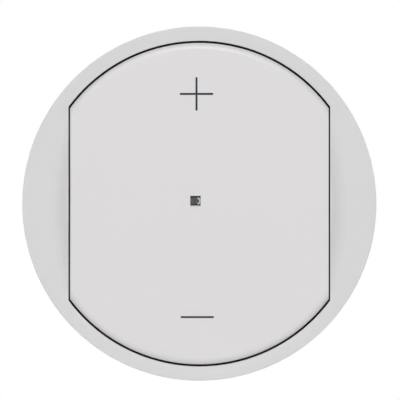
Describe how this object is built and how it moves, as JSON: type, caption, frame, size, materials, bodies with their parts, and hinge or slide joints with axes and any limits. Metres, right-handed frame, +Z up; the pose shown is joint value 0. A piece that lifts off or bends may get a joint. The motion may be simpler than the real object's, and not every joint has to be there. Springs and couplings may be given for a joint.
{
  "type": "dimmer switch",
  "caption": "Round white wall dimmer insert with a truncated-circle rocker, printed plus and minus marks and a tiny indicator window.",
  "frame": {"origin": "on the axis of the round cover, in the plane of the seat pads that rest on the wall support", "axes": "+X to the right seen from the front, +Y from the face back towards the wall, +Z up"},
  "size_m": [0.064, 0.0402, 0.064],
  "materials": {
    "cover_plastic": "satin",
    "rocker_plastic": "satin",
    "chassis_plastic": "matte",
    "smoky_plastic": "gloss",
    "mark_ink": "matte",
    "housing_front_plastic": "matte",
    "housing_rear_plastic": "matte",
    "plunger_plastic": "satin",
    "zinc_steel": "satin",
    "spring_steel": "satin",
    "board_laminate": "satin",
    "black_plastic": "matte",
    "stem_plastic": "satin",
    "lamp_resin": "gloss",
    "holder_plastic": "matte",
    "tinned_metal": "satin",
    "ceramic_parts": "matte",
    "gilt_brass": "satin",
    "ferrite": "matte",
    "copper_wire": "gloss",
    "capacitor_plastic": "satin",
    "capacitor_sleeve": "satin",
    "fuse_plastic": "satin",
    "sink_aluminium": "satin",
    "pad_rubber": "matte",
    "terminal_brass": "satin",
    "button_plastic": "satin"
  },
  "bodies": {
    "mechanism": {"cover_ring": "cover_plastic", "cover_chassis": "chassis_plastic", "front_housing": "housing_front_plastic", "rear_housing": "housing_rear_plastic", "housing_screws": "zinc_steel", "support_clips": "spring_steel", "plunger_spring_plus": "spring_steel", "plunger_spring_minus": "spring_steel", "control_board": "board_laminate", "power_board": "board_laminate", "tact_switch_plus": "black_plastic", "tact_switch_minus": "black_plastic", "tact_stem_plus": "stem_plastic", "tact_stem_minus": "stem_plastic", "indicator_led": "lamp_resin", "led_leads": "tinned_metal", "led_holder": "holder_plastic", "control_chip": "black_plastic", "chip_feet": "tinned_metal", "surface_parts": "ceramic_parts", "board_link": "black_plastic", "board_link_pins": "gilt_brass", "board_spacers": "holder_plastic", "choke_core": "ferrite", "choke_winding": "copper_wire", "filter_capacitor": "capacitor_plastic", "smoothing_capacitor": "capacitor_sleeve", "fuse": "fuse_plastic", "heat_sink": "sink_aluminium", "insulating_pad": "pad_rubber", "triac": "black_plastic", "triac_tab": "tinned_metal", "triac_leads": "tinned_metal", "triac_screw": "zinc_steel", "terminal_bar_line": "terminal_brass", "terminal_bar_load": "terminal_brass", "terminal_bar_aux": "terminal_brass", "terminal_spring_line": "spring_steel", "terminal_spring_load": "spring_steel", "terminal_spring_aux": "spring_steel"},
    "rocker": {"rocker": "rocker_plastic", "light_guide": "smoky_plastic", "plus_mark": "mark_ink", "minus_mark": "mark_ink"},
    "plunger_plus": {"plunger_plus": "plunger_plastic"},
    "plunger_minus": {"plunger_minus": "plunger_plastic"},
    "release_line": {"release_button_line": "button_plastic"},
    "release_load": {"release_button_load": "button_plastic"},
    "release_aux": {"release_button_aux": "button_plastic"}
  },
  "joints": [
    {"name": "rocker_tilt", "type": "hinge", "parent": "mechanism", "child": "rocker", "pos_m": [0, -0.0085, 0], "axis": [-1, 0, 0], "range_deg": [-2, 2], "stiffness_Nm_per_rad": 1.2},
    {"name": "plunger_plus_slide", "type": "slide", "parent": "mechanism", "child": "plunger_plus", "axis": [0, 1, 0], "range_m": [-0.00053, 0.00053], "deforming": ["plunger_spring_plus"]},
    {"name": "plunger_minus_slide", "type": "slide", "parent": "mechanism", "child": "plunger_minus", "axis": [0, 1, 0], "range_m": [-0.00053, 0.00053], "deforming": ["plunger_spring_minus"]},
    {"name": "release_line_press", "type": "slide", "parent": "mechanism", "child": "release_line", "axis": [0, -1, 0], "range_m": [0, 0.0014], "stiffness_N_per_m": 2000, "deforming": ["terminal_spring_line"]},
    {"name": "release_load_press", "type": "slide", "parent": "mechanism", "child": "release_load", "axis": [0, -1, 0], "range_m": [0, 0.0014], "stiffness_N_per_m": 2000, "deforming": ["terminal_spring_load"]},
    {"name": "release_aux_press", "type": "slide", "parent": "mechanism", "child": "release_aux", "axis": [0, -1, 0], "range_m": [0, 0.0014], "stiffness_N_per_m": 2000, "deforming": ["terminal_spring_aux"]}
  ],
  "couplings": [
    {"joint": "plunger_plus_slide", "follows": "rocker_tilt", "m_per_rad": 0.015},
    {"joint": "plunger_minus_slide", "follows": "rocker_tilt", "m_per_rad": -0.015}
  ]
}
